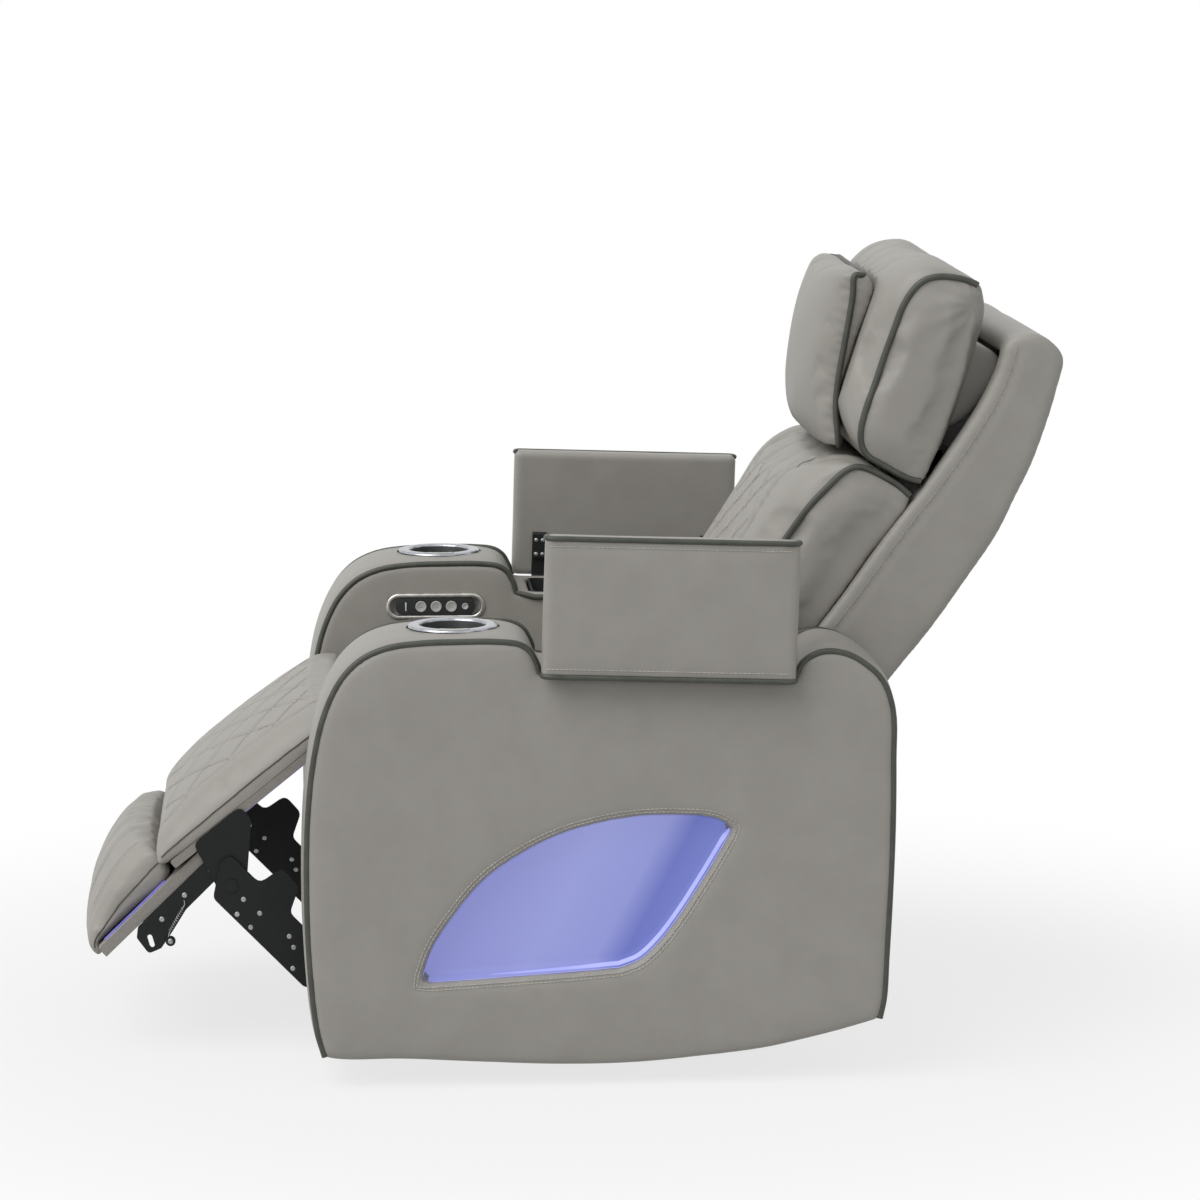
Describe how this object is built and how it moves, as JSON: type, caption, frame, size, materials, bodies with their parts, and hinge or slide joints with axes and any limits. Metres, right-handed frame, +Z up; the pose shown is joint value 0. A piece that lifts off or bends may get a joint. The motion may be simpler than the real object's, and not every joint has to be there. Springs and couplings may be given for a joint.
{
  "type": "power recliner chair",
  "caption": "Reclining armchair with folding footrest on steel links, tilting headrest, arm lids over storage bins, cup wells and a button pad.",
  "frame": {"origin": "on the floor, under the centre of the chair's bounding box as pictured: reclined, footrest out, arm lids open", "axes": "+Z up, the chair faces -Y, +X is the sitter's left"},
  "size_m": [1.013, 1.3932, 1.1212],
  "materials": {
    "grey_upholstery": "soft grain, satin, padded",
    "board_cover": "board wrapped in matt light grey cloth",
    "timber": "raw plywood",
    "black_steel": "black powder coat, semi-gloss",
    "zinc": "zinc plated",
    "cup_steel": "bright brushed",
    "satin_silver": "satin silver plated",
    "black_plastic": "fine matt",
    "button_grey": "matt grey",
    "light_lens": "frosted, lit blue violet"
  },
  "bodies": {
    "base": {"base_rail_left": "black_steel", "base_rail_right": "black_steel", "front_cross_tube": "black_steel", "rear_cross_tube": "black_steel", "side_plate_left": "black_steel", "side_plate_right": "black_steel", "seat_front_rail": "timber", "seat_rear_rail": "timber", "seat_springs": "zinc", "seat_cushion": "grey_upholstery", "arm_left": "grey_upholstery", "arm_right": "grey_upholstery", "storage_bin_left": "black_plastic", "storage_bin_right": "black_plastic", "cup_holder_left": "cup_steel", "cup_holder_right": "cup_steel", "light_panel_left": "light_lens", "light_panel_right": "light_lens", "control_bezel": "satin_silver", "control_plate": "black_plastic", "footrest_actuator": "black_steel", "recline_actuator": "black_steel", "power_inlet": "black_plastic"},
    "footrest_cranks": {"crank_left": "black_steel", "crank_right": "black_steel", "torque_tube": "black_steel"},
    "footrest_links": {"lift_link_left": "black_steel", "lift_link_right": "black_steel"},
    "leg_rest": {"legrest_bracket_left": "black_steel", "legrest_bracket_right": "black_steel", "legrest_board": "board_cover", "legrest_pad": "grey_upholstery"},
    "flipper": {"flipper_board": "board_cover", "flipper_pad": "grey_upholstery", "flipper_arm_left": "black_steel", "flipper_arm_right": "black_steel", "flipper_spring_left": "zinc", "flipper_spring_right": "zinc"},
    "footrest_drive": {"footrest_nut": "zinc"},
    "back": {"back_shell": "grey_upholstery", "back_cushion": "grey_upholstery", "back_frame": "black_steel", "headrest_bracket": "black_steel"},
    "recline_drive": {"recline_nut": "zinc"},
    "headrest": {"head_section": "grey_upholstery", "head_pillow": "grey_upholstery", "headrest_lugs": "black_steel"},
    "lid_left_body": {"lid_left": "grey_upholstery", "lid_hinge_front_left": "black_steel", "lid_hinge_rear_left": "black_steel"},
    "lid_right_body": {"lid_right": "grey_upholstery", "lid_hinge_front_right": "black_steel", "lid_hinge_rear_right": "black_steel"},
    "cup_button_left_body": {"cup_button_left": "button_grey"},
    "cup_button_right_body": {"cup_button_right": "button_grey"},
    "control_button_front_body": {"control_button_front": "button_grey"},
    "control_button_middle_body": {"control_button_middle": "button_grey"},
    "control_button_rear_body": {"control_button_rear": "button_grey"},
    "control_light_button_body": {"control_light_button": "button_grey"}
  },
  "joints": [
    {"name": "footrest_fold", "type": "hinge", "parent": "base", "child": "footrest_cranks", "pos_m": [0, -0.2125, 0.33], "axis": [1, 0, 0], "range_deg": [0, 30]},
    {"name": "lift_link_swing", "type": "hinge", "parent": "footrest_cranks", "child": "footrest_links", "pos_m": [0, -0.3655, 0.126], "axis": [1, 0, 0], "range_deg": [-63, 0]},
    {"name": "legrest_tilt", "type": "hinge", "parent": "footrest_links", "child": "leg_rest", "pos_m": [0, -0.4795, 0.243], "axis": [1, 0, 0], "range_deg": [0, 84.2]},
    {"name": "flipper_fold", "type": "hinge", "parent": "leg_rest", "child": "flipper", "pos_m": [0, -0.50201, 0.30022], "axis": [1, 0, 0], "range_deg": [0, 85]},
    {"name": "footrest_nut_slide", "type": "slide", "parent": "base", "child": "footrest_drive", "axis": [0, 1, 0], "range_m": [0, 0.0225]},
    {"name": "back_recline", "type": "hinge", "parent": "base", "child": "back", "pos_m": [0, 0.1725, 0.42], "axis": [1, 0, 0], "range_deg": [-25, 22]},
    {"name": "recline_nut_slide", "type": "slide", "parent": "base", "child": "recline_drive", "axis": [0, 1, 0], "range_m": [-0.0928, 0.0818]},
    {"name": "headrest_tilt", "type": "hinge", "parent": "back", "child": "headrest", "pos_m": [0, 0.51147, 0.80767], "axis": [1, 0, 0], "range_deg": [-11, 5]},
    {"name": "lid_left_hinge", "type": "hinge", "parent": "base", "child": "lid_left_body", "pos_m": [0.4665, -0.05606, 0.572], "axis": [0, 0.9995, -0.0314], "range_deg": [-90, 0]},
    {"name": "lid_right_hinge", "type": "hinge", "parent": "base", "child": "lid_right_body", "pos_m": [-0.4665, -0.05606, 0.572], "axis": [0, 0.9995, -0.0314], "range_deg": [0, 90]},
    {"name": "control_button_front_press", "type": "slide", "parent": "base", "child": "control_button_front_body", "axis": [-1, 0, 0], "range_m": [0, 0.0014], "stiffness_N_per_m": 300, "springref_m": -0.001},
    {"name": "control_button_middle_press", "type": "slide", "parent": "base", "child": "control_button_middle_body", "axis": [-1, 0, 0], "range_m": [0, 0.0014], "stiffness_N_per_m": 300, "springref_m": -0.001},
    {"name": "control_button_rear_press", "type": "slide", "parent": "base", "child": "control_button_rear_body", "axis": [-1, 0, 0], "range_m": [0, 0.0014], "stiffness_N_per_m": 300, "springref_m": -0.001},
    {"name": "control_light_button_press", "type": "slide", "parent": "base", "child": "control_light_button_body", "axis": [-1, 0, 0], "range_m": [0, 0.0014], "stiffness_N_per_m": 300, "springref_m": -0.001},
    {"name": "cup_button_left_press", "type": "slide", "parent": "base", "child": "cup_button_left_body", "axis": [0, 0, -1], "range_m": [0, 0.0012], "stiffness_N_per_m": 300, "springref_m": -0.001},
    {"name": "cup_button_right_press", "type": "slide", "parent": "base", "child": "cup_button_right_body", "axis": [0, 0, -1], "range_m": [0, 0.0012], "stiffness_N_per_m": 300, "springref_m": -0.001}
  ],
  "couplings": [
    {"joint": "lift_link_swing", "follows": "footrest_fold", "ratio": -2.1},
    {"joint": "legrest_tilt", "follows": "footrest_fold", "ratio": 2.8066},
    {"joint": "flipper_fold", "follows": "footrest_fold", "ratio": 2.8333},
    {"joint": "footrest_nut_slide", "follows": "footrest_fold", "m_per_rad": 0.04267},
    {"joint": "recline_nut_slide", "follows": "back_recline", "m_per_rad": 0.21171}
  ]
}
